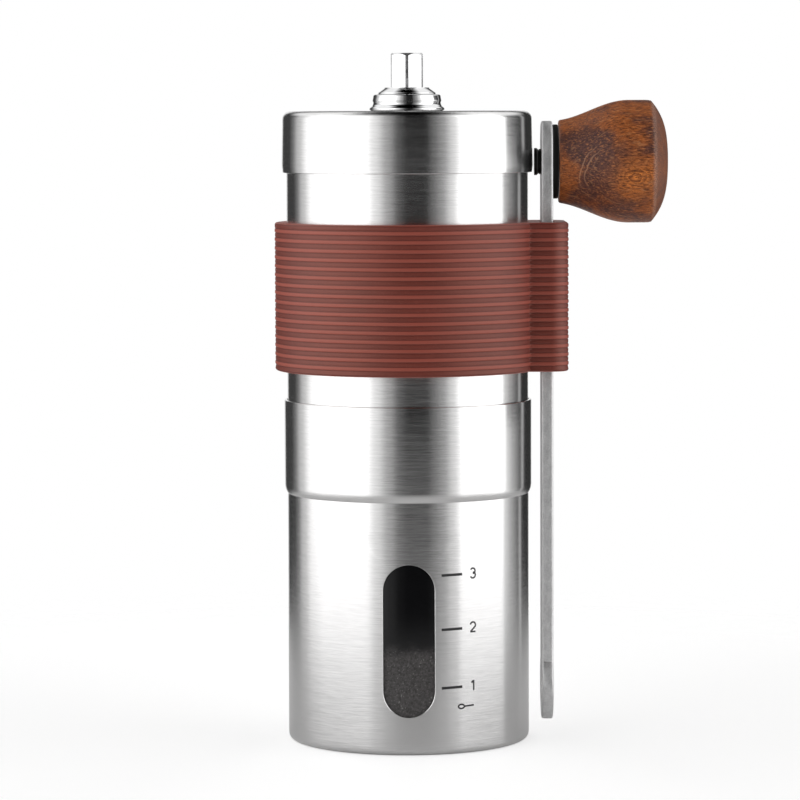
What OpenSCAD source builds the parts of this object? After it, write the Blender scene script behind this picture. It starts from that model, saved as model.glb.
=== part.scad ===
// Hand crank coffee grinder with a conical ceramic burr set, in millimetres.
// The cup's foot stands on z = 0, +Z is up along the drive shaft, the window faces -Y,
// and the crank is stowed in the grip sleeve's loop on the +X side.

/* [Body] */
// Outside diameter of the steel body tube
tube_d = 47; // [46.8:0.1:47]
// Wall of the body tube
tube_wall = 0.6; // [0.5:0.1:0.6]
// Height of the drive shaft's top above the table
shaft_top_z = 133.8; // [132:0.2:140]

/* [Catch cup] */
// Wall of the cup's drawn steel shell
cup_wall = 0.5; // [0.4:0.05:0.5]
// Outside diameter of the cup's collar, which slips over the body tube
collar_d = 48.2; // [48.2:0.1:48.6]
// Height of the collar's lower end
collar_lo_z = 48.3; // [47.5:0.1:48.3]
// Height of the cup's rim
collar_hi_z = 66.6; // [62:0.2:70]
// Width of the window
window_w = 10; // [6:0.5:14]
// Height of the window
window_h = 29.2; // [20:0.2:34]
// Height of the window's centre
window_z = 22; // [20:0.2:24]

/* [Lid] */
// Outside diameter of the lid at its rim
lid_d = 48.8; // [48.6:0.1:48.9]
// Height of the lid's top
lid_top_z = 122.6; // [122.4:0.1:124]
// Depth of the lid's skirt
lid_skirt = 11.9; // [9:0.1:13]

/* [Grip sleeve] */
// Height of the sleeve's lower edge
grip_lo_z = 72.4; // [70:0.2:75]
// Length of the sleeve along the body
grip_h = 28.7; // [20:0.1:28.7]
// Thickness of the sleeve over its ribs
grip_wall = 2.35; // [2:0.05:3]
// Distance between two ribs
rib_pitch = 1.75; // [1.5:0.05:3]
// Depth of the grooves between the ribs
rib_depth = 0.45; // [0.2:0.05:0.6]

/* [Crank] */
// Centre distance from the drive socket to the knob
crank_len = 102.2; // [95:0.2:106]
// Width of the arm
arm_w = 10; // [8:0.5:11]
// Thickness of the arm
arm_t = 2.2; // [2:0.1:2.2]
// Distance from the shaft axis to the stowed arm's inner face
arm_x = 26; // [26:0.1:26.2]
// Height of the stowed arm's lower end
arm_lo_z = 3.5; // [3:0.1:6]
// Diameter of the arm's socket end
socket_end_d = 14; // [12:0.5:14]
// Length of the wooden knob
knob_len = 21.15; // [19:0.05:24]
// Largest diameter of the wooden knob
knob_d = 23.8; // [20:0.2:26]
// Diameter of the knob's neck
knob_neck_d = 15.9; // [15:0.1:17]

/* [Drive] */
// Diameter of the drive shaft
shaft_d = 7; // [7:0.1:7]
// Width across the flats of the shaft's hexagonal end
hex_af = 6.2; // [5.8:0.1:6.2]
// Pitch of the adjuster's thread
thread_pitch = 0.8; // [0.8:0.1:0.8]

/* [Burrs] */
// Outside diameter of the inner burr
inner_burr_d = 30.8; // [30:0.1:30.8]
// Outside diameter of the outer burr
outer_burr_d = 35.2; // [35:0.1:35.2]
// Coarse flutes on the inner burr
coarse_flutes = 8; // [5:1:10]
// Fine flutes on each burr
fine_flutes = 24; // [16:2:30]

/* [Hidden] */
$fn = 96;
eps = 0.01;
running = 0.05;      // radial clearance of a shaft in its bearing

tube_r = tube_d / 2;
tube_in_r = tube_r - tube_wall;
tube_lo_z = collar_lo_z + 0.5;

cup_r = tube_r + 0.05;
cup_in_r = cup_r - cup_wall;
collar_r = collar_d / 2;
cup_corner = 1.2;
neck_h = 1.6;        // height over which the cup widens into its collar

liner_r = cup_in_r - 0.1;
liner_wall = 1.6;
liner_lo_z = cup_wall + 0.1;
liner_floor = 1.2;
liner_hi_z = collar_lo_z - 1.1;

lid_r = lid_d / 2;
lid_wall = 0.6;
lid_in_r = tube_r + 0.2;
lid_corner = 1.5;
lid_plate_z = lid_top_z - lid_wall;
tube_hi_z = lid_plate_z - 0.4;
plug_disc = 0.65;
plug_r = tube_in_r - 0.2;
plug_wall = 1.2;
plug_lo_z = lid_plate_z - 8;
hub_spigot_r = 5.2;
hub_bore_r = 4.4;
hub_lo_z = lid_plate_z - 2.6;
hub_lip_z = lid_top_z + 2.6;
hub_lip_r = shaft_d / 2 + 0.2;
hub_nut_t = 1.6;
hub_nut_af = 14;

grip_r = tube_r + grip_wall;
loop_x = 31.1;       // outer face of the sleeve's loop
loop_half_w = 10.6;
loop_corner = 3.7;
slot_x = [arm_x - 0.2, arm_x + arm_t + 0.3];
slot_half_w = socket_end_d / 2 + 0.3;

arm_out_x = arm_x + arm_t;
socket_z = arm_lo_z + socket_end_d / 2;
knob_z = socket_z + crank_len;
arm_top_z = knob_z + 7.9;
socket_af = hex_af + 0.3;
washer_t = 1.1;
knob_x = arm_out_x + washer_t + 0.1;
knob_end_x = knob_x + knob_len;
knob_crown = 3.2;    // how far the knob's end is domed
axle_r = 2;
screw_head_r = 2.65;
screw_head_t = 0.85;
screw_washer_t = 0.4;
insert_r = 3.2;
insert_len = 11.5;

shaft_r = shaft_d / 2;
hex_lo_z = lid_top_z + 3.8;
flats_w = 5;         // across the shaft's two lower flats
flats_hi_z = 62.5;
thread_hi_z = 46;
thread_r = 2.5;
shaft_lo_z = 35.5;

boss_z = [68, 75];
boss_r = 6.5;
bush_r = 4.5;
bush_flange_t = 0.4;
circlip_lo_z = boss_z[1] + bush_flange_t + 0.6;
circlip_t = 0.6;
groove_r = shaft_r - 0.55;
washer_out_r = 6.3;

burr_lo_z = 46.3;
core_r = 5.6;
core_lo_z = 45.5;
core_hi_z = 62;
pocket_r = outer_burr_d / 2 + 0.1;
skirt_r = 20.9;
skirt_lo_z = 46.2;
shoulder_z = 60.2;
throat_r = 12.8;
funnel_hi_z = 74.5;
clamp_lo_z = 43.8;
screw_circle_r = 19.2;
screw_angles = [0, 120, 240];
lug_angles = [60, 180, 300];

spring_wire_r = 0.45;
spring_r = 4.65;
spring_turns = 4.25;
spring_z = [core_hi_z + spring_wire_r, boss_z[0] - 0.6 - spring_wire_r];

adjuster_z = [37.6, 45.45];
adjuster_lobes = 8;
adjuster_r = 8.8;
lobe_r = 2;
adjuster_insert_r = 4.3;

steel = "#c9c9cb";
dark_steel = "#2b2b2c";
silicone = "#7d3f35";
wood = "#7a4526";
ceramic = "#eeeae0";
nylon = "#d9d6cd";
black_plastic = "#232323";

// ---------- outlines ----------

function arc(centre, r, from, to, steps = 6) =
    [for (i = [0:steps]) centre + r * [cos(from + (to - from) * i / steps), sin(from + (to - from) * i / steps)]];

// A smooth step from [r0, z0] to [r1, z1].
function ease(r0, z0, r1, z1, steps = 6) =
    [for (i = [0:steps]) let (t = i / steps) [r0 + (r1 - r0) * (3 * t * t - 2 * t * t * t), z0 + (z1 - z0) * t]];

module lathe(outline) rotate_extrude() polygon(outline);

module ring(r_out, r_in, z0, z1) translate([0, 0, z0]) difference() {
    cylinder(r = r_out, h = z1 - z0);
    translate([0, 0, -1]) cylinder(r = r_in, h = z1 - z0 + 2);
}

// Places children on a circle round the shaft.
module around(angles) for (a = angles) rotate([0, 0, a]) children();

// A cylinder along +X that starts at x0.
module along_x(r, x0, x1, z) translate([x0, 0, z]) rotate([0, 90, 0]) cylinder(r = r, h = x1 - x0);

// ---------- catch cup ----------

module window_outline() {
    straight = (window_h - window_w) / 2;
    square([window_w, 2 * straight], center = true);
    for (s = [-1, 1]) translate([0, s * straight]) circle(d = window_w);
}

module cup_shell() color(steel) difference() {
    lathe(concat(
        [[0, 0]],
        arc([cup_r - cup_corner, cup_corner], cup_corner, -90, 0),
        ease(cup_r, collar_lo_z - neck_h / 2, collar_r, collar_lo_z + neck_h / 2),
        arc([collar_r - 0.2, collar_hi_z - 0.2], 0.2, 0, 90, 3),
        [[collar_r - cup_wall, collar_hi_z]],
        ease(collar_r - cup_wall, collar_lo_z + neck_h / 2, cup_in_r, collar_lo_z - neck_h / 2),
        arc([cup_r - cup_corner, cup_corner], cup_corner - cup_wall, 0, -90),
        [[0, cup_wall]]
    ));
    translate([0, -10, window_z]) rotate([90, 0, 0]) linear_extrude(20) window_outline();
}

module cup_liner() color("#2a2a2c", 0.6) lathe(concat(
    [[0, liner_lo_z]],
    arc([liner_r - 0.8, liner_lo_z + 0.8], 0.8, -90, 0),
    [[liner_r, liner_hi_z], [liner_r - liner_wall + 0.5, liner_hi_z], [liner_r - liner_wall, liner_hi_z - 0.5]],
    arc([liner_r - liner_wall - 1, liner_lo_z + liner_floor + 1], 1, 0, -90),
    [[0, liner_lo_z + liner_floor]]
));

// ---------- body ----------

module housing_tube() color(steel) lathe([
    [tube_in_r, tube_lo_z], [tube_r - 0.2, tube_lo_z], [tube_r, tube_lo_z + 0.3],
    [tube_r, tube_hi_z - 0.2], [tube_r - 0.15, tube_hi_z], [tube_in_r, tube_hi_z],
]);

// The sleeve's outline seen from above, drawn in by the given amount.
module grip_outline(inset = 0) {
    half_w = loop_half_w - inset;
    corner = loop_corner - inset;
    circle(r = grip_r - inset);
    translate([0, -half_w]) square([loop_x - inset - corner, 2 * half_w]);
    translate([0, -half_w + corner]) square([loop_x - inset, 2 * (half_w - corner)]);
    for (s = [-1, 1]) translate([loop_x - inset - corner, s * (half_w - corner)]) circle(r = corner);
}

module grip_sleeve() color(silicone) {
    ribs = floor((grip_h - 0.6) / rib_pitch);
    land = rib_pitch * 0.62;
    end_land = (grip_h - (ribs - 1) * rib_pitch + land) / 2;
    translate([0, 0, grip_lo_z]) difference() {
        union() {
            linear_extrude(grip_h) grip_outline(rib_depth);
            linear_extrude(end_land) grip_outline();
            translate([0, 0, grip_h - end_land]) linear_extrude(end_land) grip_outline();
            for (i = [1:ribs - 2])
                translate([0, 0, end_land - land + i * rib_pitch]) linear_extrude(land) grip_outline();
        }
        translate([0, 0, -1]) cylinder(r = tube_r, h = grip_h + 2);
        translate([slot_x[0], -slot_half_w, -1]) cube([slot_x[1] - slot_x[0], 2 * slot_half_w, grip_h + 2]);
    }
}

// The moulded funnel that seats the outer burr and carries the shaft's bearing on three spokes.
module burr_housing() color(nylon) difference() {
    union() {
        lathe([
            [pocket_r, skirt_lo_z], [skirt_r, skirt_lo_z], [skirt_r, tube_lo_z + 0.4], [tube_in_r - 0.05, tube_lo_z + 0.4],
            [tube_in_r - 0.05, funnel_hi_z], [tube_in_r - 0.9, funnel_hi_z],
            [throat_r, shoulder_z + 0.9], [throat_r, shoulder_z], [pocket_r, shoulder_z],
        ]);
        translate([0, 0, boss_z[0]]) cylinder(r = boss_r, h = boss_z[1] - boss_z[0]);
        around(lug_angles) translate([0, -1.5, boss_z[0] + 1.5]) cube([20.5, 3, 4.5]);
    }
    translate([0, 0, boss_z[0] - 1]) cylinder(r = bush_r, h = 9);
    around(screw_angles) translate([screw_circle_r, 0, skirt_lo_z - 1]) cylinder(r = 1, h = 7.5);
    around(lug_angles) translate([pocket_r - 0.1, 0, skirt_lo_z - 1]) cylinder(r = 1.5, h = 13);
}

module shaft_bushing() color("#b98d4a") {
    ring(bush_r, shaft_r + running, boss_z[0], boss_z[1] + bush_flange_t);
    ring(boss_r - 0.4, bush_r - 0.5, boss_z[1], boss_z[1] + bush_flange_t);
}

module clamp_ring() color(black_plastic) difference() {
    ring(skirt_r, inner_burr_d / 2 + 0.8, clamp_lo_z, skirt_lo_z);
    around(screw_angles) translate([screw_circle_r, 0, clamp_lo_z - 1]) {
        cylinder(r = 1.1, h = 5);
        cylinder(r = 1.45, h = 2.2);
    }
}

module clamp_screws() color(steel) around(screw_angles) translate([screw_circle_r, 0, clamp_lo_z]) difference() {
    union() {
        cylinder(r = 1.4, h = 1.2);
        cylinder(r = 0.98, h = 8.2);
    }
    for (a = [0, 90]) rotate([0, 0, a]) translate([-0.9, -0.2, -1]) cube([1.8, 0.4, 1.6]);
}

// ---------- burrs ----------

// Straight flutes on a cone: each starts at radius r0 and height z0, leans outwards by lean, and is skewed by skew.
module flutes(count, r0, z0, lean, skew, width, depth, length)
    around([for (i = [0:count - 1]) i * 360 / count])
        translate([r0, 0, z0]) rotate([skew, 0, 0]) rotate([0, lean, 0]) rotate([0, 0, 45])
            cube([depth, width, length], center = true);

module outer_burr() color(ceramic) difference() {
    union() {
        lathe([
            [inner_burr_d / 2 + 0.35, burr_lo_z], [outer_burr_d / 2, burr_lo_z], [outer_burr_d / 2, shoulder_z - 0.05],
            [throat_r, shoulder_z - 0.05], [throat_r - 0.6, 56], [13.5, 51.6], [inner_burr_d / 2 + 0.35, 47.2],
        ]);
        around(lug_angles) translate([outer_burr_d / 2 - 0.1, 0, burr_lo_z]) cylinder(r = 1.3, h = 10.5);
    }
    flutes(fine_flutes, 14.9, 48.3, -27, 8, 0.9, 0.9, 5.4);
    flutes(fine_flutes, 12.6, 58.1, 0, 0, 1.1, 1.1, 8);
}

module inner_burr() color(ceramic) difference() {
    lathe([
        [core_r, burr_lo_z], [inner_burr_d / 2 - 0.4, burr_lo_z], [inner_burr_d / 2, burr_lo_z + 0.3],
        [inner_burr_d / 2, 47.2], [13.15, 51.6], [9.2, 57.3], [7.3, 61], [core_r, 61],
    ]);
    flutes(fine_flutes, 14.5, 48.9, -27, -12, 0.9, 0.9, 7);
    flutes(coarse_flutes, 10.6, 56.8, -33, -24, 3, 3, 16);
}

// The moulded core that keys the inner burr to the shaft's two flats.
module burr_core() color(black_plastic) difference() {
    union() {
        translate([0, 0, core_lo_z]) cylinder(r = core_r, h = core_hi_z - core_lo_z);
        translate([0, 0, core_lo_z]) cylinder(r = 8, h = burr_lo_z - core_lo_z);
    }
    translate([0, 0, core_lo_z - 1]) intersection() {
        cylinder(r = shaft_r + 0.1, h = core_hi_z - core_lo_z + 2);
        translate([-5, -flats_w / 2 - 0.1, 0]) cube([10, flats_w + 0.2, core_hi_z - core_lo_z + 2]);
    }
    around([for (i = [0:11]) i * 30]) translate([5, -0.3, core_lo_z - 1]) cube([4, 0.6, 1.3]);
}

module adjuster_knob() color(black_plastic) difference() {
    union() {
        translate([0, 0, adjuster_z[0]]) cylinder(r = adjuster_r, h = adjuster_z[1] - adjuster_z[0]);
        around([for (i = [0:adjuster_lobes - 1]) (i + 0.5) * 360 / adjuster_lobes])
            translate([adjuster_r, 0, adjuster_z[0]]) cylinder(r = lobe_r, h = adjuster_z[1] - adjuster_z[0] - 1);
    }
    translate([0, 0, adjuster_z[0] - 1]) cylinder(r = adjuster_insert_r, h = 10);
    ring(adjuster_r - 1.4, adjuster_insert_r + 1.3, adjuster_z[0] - 1, adjuster_z[0] + 4);
}

module adjuster_insert() color("#b98d4a") difference() {
    translate([0, 0, adjuster_z[0] + 0.4]) cylinder(r = adjuster_insert_r, h = adjuster_z[1] - adjuster_z[0] - 0.4);
    translate([0, 0, adjuster_z[0]]) cylinder(r = thread_r + running, h = 10);
}

// ---------- drive ----------

module drive_shaft() color(steel) {
    difference() {
        union() {
            translate([0, 0, flats_hi_z]) cylinder(r = shaft_r, h = hex_lo_z - flats_hi_z);
            translate([0, 0, thread_hi_z]) intersection() {
                cylinder(r = shaft_r, h = flats_hi_z - thread_hi_z + eps);
                translate([-5, -flats_w / 2, 0]) cube([10, flats_w, flats_hi_z - thread_hi_z + eps]);
            }
            translate([0, 0, shaft_lo_z + 0.6]) cylinder(r = thread_r, h = thread_hi_z - shaft_lo_z - 0.6 + eps);
            translate([0, 0, shaft_lo_z]) cylinder(r1 = thread_r - 0.6, r2 = thread_r, h = 0.6);
        }
        ring(shaft_r + 1, groove_r, circlip_lo_z, circlip_lo_z + circlip_t);
    }
    // Hexagonal end, milled from the round bar, with one corner towards -Y and a chamfered tip.
    intersection() {
        translate([0, 0, hex_lo_z - eps]) rotate([0, 0, 30])
            cylinder(d = hex_af / cos(30), h = shaft_top_z - hex_lo_z + eps, $fn = 6);
        lathe([
            [0, hex_lo_z - eps], [shaft_r - 0.08, hex_lo_z - eps], [shaft_r - 0.08, shaft_top_z - 0.5],
            [shaft_r - 0.6, shaft_top_z], [0, shaft_top_z],
        ]);
    }
}

module shaft_circlip() color(dark_steel) difference() {
    ring(5.6, groove_r, circlip_lo_z, circlip_lo_z + circlip_t);
    translate([0, -1.9, circlip_lo_z - 1]) cube([10, 3.8, 3]);
}

module circlip_washer() color(steel)
    ring(washer_out_r - 0.4, shaft_r + 0.1, boss_z[1] + bush_flange_t + running, circlip_lo_z);

module spring_washer() color(steel)
    ring(washer_out_r, shaft_r + 0.1, boss_z[0] - 0.6, boss_z[0] - running);

// A coil swept along a helix, closed at both ends.
module burr_spring() color(steel) {
    sides = 8;
    steps = 16 * 4;
    turn = 360 * spring_turns;
    height = spring_z[1] - spring_z[0];
    slope = atan2(height, spring_turns * 2 * PI * spring_r);
    rings = [for (i = [0:steps]) let (a = turn * i / steps, z = spring_z[0] + height * i / steps)
        [for (j = [0:sides - 1]) let (b = 360 * j / sides, u = spring_wire_r * cos(b), v = spring_wire_r * sin(b))
            [(spring_r + u) * cos(a) + v * sin(slope) * sin(a),
             (spring_r + u) * sin(a) - v * sin(slope) * cos(a),
             z + v * cos(slope)]]];
    walls = [for (i = [0:steps - 1]) for (j = [0:sides - 1]) let (k = (j + 1) % sides)
        [i * sides + j, (i + 1) * sides + j, (i + 1) * sides + k, i * sides + k]];
    caps = [[for (j = [0:sides - 1]) j], [for (j = [sides - 1:-1:0]) steps * sides + j]];
    polyhedron([for (r = rings) for (p = r) p], concat(walls, caps));
}

// ---------- lid ----------

module lid_cap() color(steel) lathe(concat(
    [[hub_spigot_r, lid_plate_z], [lid_in_r - 0.9, lid_plate_z]],
    arc([lid_in_r - 0.9, lid_plate_z - 0.9], 0.9, 90, 0),
    [[lid_in_r, lid_top_z - lid_skirt], [lid_r, lid_top_z - lid_skirt], [lid_r, lid_top_z - lid_skirt + 0.6]],
    arc([lid_r - 0.1 - lid_corner, lid_top_z - lid_corner], lid_corner, 0, 90),
    [[hub_spigot_r, lid_top_z]]
));

module lid_plug() color(black_plastic) lathe([
    [hub_spigot_r, lid_plate_z - plug_disc], [plug_r - plug_wall, lid_plate_z - plug_disc],
    [plug_r - plug_wall, plug_lo_z], [plug_r - 0.3, plug_lo_z], [plug_r, plug_lo_z + 0.5],
    [plug_r, lid_plate_z], [hub_spigot_r, lid_plate_z],
]);

module lid_hub() color("#e6e6ea") lathe([
    [hub_bore_r, hub_lo_z], [hub_spigot_r, hub_lo_z], [hub_spigot_r, lid_top_z],
    [7.1, lid_top_z], [7.3, lid_top_z + 0.2], [7.25, lid_top_z + 0.6], [6.45, lid_top_z + 2.8], [6.2, lid_top_z + 3],
    [5.45, lid_top_z + 3.75], [5.2, lid_top_z + 3.85], [4.15, lid_top_z + 4.45], [hub_lip_r, lid_top_z + 4.5],
    [hub_lip_r, hub_lip_z], [hub_bore_r, hub_lip_z],
]);

module lid_hub_nut() color(steel) difference() {
    translate([0, 0, lid_plate_z - plug_disc - hub_nut_t]) cylinder(d = hub_nut_af / cos(30), h = hub_nut_t, $fn = 6);
    translate([0, 0, hub_lo_z - 2]) cylinder(r = hub_spigot_r, h = 6);
}

module lid_bushing() color(nylon) ring(hub_bore_r, shaft_r + 0.1, hub_lo_z + 0.2, hub_lip_z);

// ---------- crank ----------

module arm_outline() {
    translate([socket_z, -arm_w / 2]) square([arm_top_z - arm_w / 2 - socket_z, arm_w]);
    translate([arm_top_z - arm_w / 2, 0]) circle(d = arm_w);
    translate([socket_z, 0]) circle(d = socket_end_d);
}

// The arm stands upright along Z, with its drive socket at the lower end.
module crank_arm() color(steel) difference() {
    translate([arm_x, 0, 0]) rotate([0, -90, 0]) mirror([0, 0, 1]) linear_extrude(arm_t) arm_outline();
    along_x(axle_r + running, arm_x - 1, arm_out_x + 1, knob_z);
    translate([arm_x - 1, 0, socket_z]) rotate([0, 90, 0]) cylinder(d = socket_af / cos(30), h = arm_t + 2, $fn = 6);
}

module knob_washer() color(black_plastic) difference() {
    along_x(7.2, arm_out_x, arm_out_x + washer_t, knob_z);
    along_x(axle_r + 0.2, arm_out_x - 1, arm_out_x + 3, knob_z);
}

module screw_washer() color(dark_steel) difference() {
    along_x(2.45, arm_x - screw_washer_t, arm_x, knob_z);
    along_x(axle_r + 0.08, arm_x - 2, arm_x + 1, knob_z);
}

// Radius of the knob at distance s from its neck: an easy S-curve, then a straight belly.
function knob_radius(s) = let (mid = (knob_d + knob_neck_d) / 4, amp = (knob_d - knob_neck_d) / 4)
    mid - amp * cos(180 * min(1, (s + 1.4) / 15));

module crank_knob() color(wood) {
    belly_end = knob_len - knob_crown;
    neck = [for (s = [0.3:0.9:13.8]) [knob_radius(s), s]];
    crown = [for (i = [0:7]) let (t = cos(90 * i / 7)) [(knob_d / 2 - 0.2) * t, belly_end + knob_crown * (1 - pow(t, 3.2))]];
    translate([knob_x, 0, knob_z]) rotate([0, 90, 0]) difference() {
        lathe(concat([[0, 0], [knob_radius(0) - 0.3, 0]], neck, [[knob_d / 2, belly_end - 0.4]], crown));
        translate([0, 0, -1]) cylinder(r = insert_r, h = insert_len + 1);
    }
}

module knob_insert() color("#b98d4a") difference() {
    along_x(insert_r, knob_x, knob_x + insert_len, knob_z);
    along_x(axle_r, knob_x - 1, knob_x + insert_len - 1, knob_z);
}

// Shoulder screw: its head is on the arm's inner side, and its thread holds the knob's insert.
module knob_screw() color(dark_steel) {
    head_x = arm_x - screw_washer_t - running - screw_head_t;
    difference() {
        union() {
            along_x(axle_r, head_x + 0.2, knob_x + insert_len - 2, knob_z);
            translate([head_x, 0, knob_z]) rotate([0, 90, 0]) {
                cylinder(r = screw_head_r, h = 0.45);
                translate([0, 0, 0.45]) cylinder(r1 = screw_head_r, r2 = screw_head_r - 0.4, h = screw_head_t - 0.45);
            }
        }
        translate([head_x - 1, -0.35, knob_z - 3]) cube([1.3, 0.7, 6]);
    }
}

cup_shell();
cup_liner();
housing_tube();
grip_sleeve();
burr_housing();
shaft_bushing();
outer_burr();
clamp_ring();
clamp_screws();
lid_cap();
lid_plug();
lid_hub();
lid_hub_nut();
lid_bushing();
drive_shaft();
shaft_circlip();
circlip_washer();
spring_washer();
burr_spring();
inner_burr();
burr_core();
adjuster_knob();
adjuster_insert();
crank_arm();
knob_washer();
screw_washer();
crank_knob();
knob_insert();
knob_screw();
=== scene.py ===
"""Looks of the hand crank coffee grinder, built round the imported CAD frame. Outlines are in millimetres."""

import math

import bmesh
import bpy
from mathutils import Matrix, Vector


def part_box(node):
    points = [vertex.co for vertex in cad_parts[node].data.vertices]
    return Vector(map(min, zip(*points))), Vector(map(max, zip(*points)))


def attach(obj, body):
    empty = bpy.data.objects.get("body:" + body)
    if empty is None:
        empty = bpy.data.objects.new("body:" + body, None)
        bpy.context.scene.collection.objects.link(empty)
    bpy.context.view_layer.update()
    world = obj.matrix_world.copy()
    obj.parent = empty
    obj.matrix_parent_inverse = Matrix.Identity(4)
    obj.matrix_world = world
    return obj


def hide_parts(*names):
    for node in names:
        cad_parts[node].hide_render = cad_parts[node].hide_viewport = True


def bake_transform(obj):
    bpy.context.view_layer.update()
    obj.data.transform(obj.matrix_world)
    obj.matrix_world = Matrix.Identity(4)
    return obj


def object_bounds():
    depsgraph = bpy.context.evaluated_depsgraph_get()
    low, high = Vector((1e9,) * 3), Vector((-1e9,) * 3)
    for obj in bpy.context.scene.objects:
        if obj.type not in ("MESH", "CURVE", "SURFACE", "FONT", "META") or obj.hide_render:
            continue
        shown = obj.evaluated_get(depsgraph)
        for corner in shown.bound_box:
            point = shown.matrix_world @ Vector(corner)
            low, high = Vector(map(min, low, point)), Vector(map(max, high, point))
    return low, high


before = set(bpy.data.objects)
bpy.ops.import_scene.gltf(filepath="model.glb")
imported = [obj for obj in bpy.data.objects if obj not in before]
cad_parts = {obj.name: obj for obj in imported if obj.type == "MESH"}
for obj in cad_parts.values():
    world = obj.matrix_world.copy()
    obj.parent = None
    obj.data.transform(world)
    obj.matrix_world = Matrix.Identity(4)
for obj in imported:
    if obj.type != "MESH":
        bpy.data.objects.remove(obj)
cad_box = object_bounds()
scene = bpy.context.scene

MM = 0.001
SEGMENTS = 216          # divisions round a turned piece
SHARP = 32              # degrees between faces that keep a crisp edge
WELD = 1e-5             # points closer than this become one
TINY = 1e-6             # a shorter length counts as none


def span(node):
    """The lowest and highest corner of a CAD node, in millimetres."""
    low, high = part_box(node)
    return low / MM, high / MM


# ---------- outlines ----------

def arc(centre, radius, start, end, steps=8):
    """Points on an arc, from start to end in degrees."""
    angles = [math.radians(start + (end - start) * i / steps) for i in range(steps + 1)]
    return [(centre[0] + radius * math.cos(a), centre[1] + radius * math.sin(a)) for a in angles]


def line(start, end, steps=8):
    """Evenly spaced points from start to end."""
    return [(start[0] + (end[0] - start[0]) * i / steps, start[1] + (end[1] - start[1]) * i / steps)
            for i in range(steps + 1)]


# ---------- meshes ----------

def add_object(name, bm, material, body, replaces=(), sharp=SHARP):
    """Makes the object, in metres, and ties it to the frame."""
    bmesh.ops.remove_doubles(bm, verts=bm.verts, dist=WELD)
    bmesh.ops.recalc_face_normals(bm, faces=bm.faces)
    bmesh.ops.scale(bm, vec=(MM, MM, MM), verts=bm.verts)
    mesh = bpy.data.meshes.new(name)
    bm.to_mesh(mesh)
    bm.free()
    mesh.shade_smooth()
    mesh.set_sharp_from_angle(angle=math.radians(sharp))
    mesh.materials.append(material)
    obj = bpy.data.objects.new(name, mesh)
    scene.collection.objects.link(obj)
    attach(obj, body)
    if replaces:
        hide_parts(*replaces)
    return obj


def add_ring(bm, points):
    return [bm.verts.new(p) for p in points]


def bridge(bm, first, second):
    """Faces between two closed rings of vertices. A ring of one vertex is a pole."""
    count = max(len(first), len(second))
    for i in range(count):
        corners = [first[i % len(first)], first[(i + 1) % len(first)],
                   second[(i + 1) % len(second)], second[i % len(second)]]
        corners = list(dict.fromkeys(corners))
        if len(corners) > 2:
            bm.faces.new(corners)


def bridge_all(bm, rings):
    for first, second in zip(rings, rings[1:]):
        bridge(bm, first, second)


def fill_flat(bm, axis, level):
    """Closes the edges that lie in the plane at level along axis."""
    edges = [e for e in bm.edges if all(abs(v.co[axis] - level) < TINY for v in e.verts)]
    bmesh.ops.triangle_fill(bm, use_beauty=True, use_dissolve=False, edges=edges)


def lathe_mesh(outline, place):
    """A closed outline of (radius, height), turned about an axis. place puts a point of it into space."""
    bm = bmesh.new()
    turns = [math.tau * i / SEGMENTS for i in range(SEGMENTS)]
    rings = []
    for radius, height in outline:
        around = turns if radius > TINY else turns[:1]
        points = [place(radius * math.cos(a), radius * math.sin(a), height) for a in around]
        rings.append(add_ring(bm, points))
    for i, ring in enumerate(rings):
        following = rings[(i + 1) % len(rings)]
        if len(ring) + len(following) > 2:
            bridge(bm, ring, following)
    return bm


def upright(x, y, z):
    return (x, y, z)


# ---------- materials ----------

KNOB_CROWN = 3.2        # how far the knob's end is domed
KNOT = (14.4, -3.0)     # the knot's place in the wood, along the knob from its neck and above its axis
HEART = (6.5, 1.0)      # the same for the dark patch


class Nodes:
    """A node tree, built a node at a time. A node's inputs are given by name, or by number as i0, i1, i2."""

    def __init__(self, tree):
        self.tree = tree

    def node(self, kind, settings=None, **inputs):
        made = self.tree.nodes.new("ShaderNode" + kind)
        for key, value in (settings or {}).items():
            setattr(made, key, value)
        for key, value in inputs.items():
            socket = int(key[1:]) if key[1:].isdigit() else key.replace("_", " ")
            self.put(made.inputs[socket], value)
        return made

    def put(self, socket, value):
        if isinstance(value, bpy.types.NodeSocket):
            self.tree.links.new(value, socket)
        else:
            socket.default_value = value

    def math(self, operation, first, second=0.0, third=0.0):
        return self.node("Math", {"operation": operation}, i0=first, i1=second, i2=third).outputs[0]

    def product(self, *factors):
        result = factors[0]
        for factor in factors[1:]:
            result = self.math("MULTIPLY", result, factor)
        return result

    def length(self, vector):
        return self.node("VectorMath", {"operation": "LENGTH"}, i0=vector).outputs["Value"]

    def square_sum(self, first, second):
        return self.math("MULTIPLY_ADD", first, first, self.math("MULTIPLY", second, second))

    def remap(self, value, low, high, to_low=0.0, to_high=1.0, smooth=False):
        settings = {"interpolation_type": "SMOOTHSTEP" if smooth else "LINEAR"}
        return self.node("MapRange", settings, i0=value, i1=low, i2=high, i3=to_low, i4=to_high).outputs[0]

    def between(self, value, low, full_from, full_to, high):
        """1 from full_from to full_to, falling smoothly to 0 at low and high."""
        rising = self.remap(value, low, full_from, smooth=True)
        falling = self.remap(value, high, full_to, smooth=True)
        return self.product(rising, falling)


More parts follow.
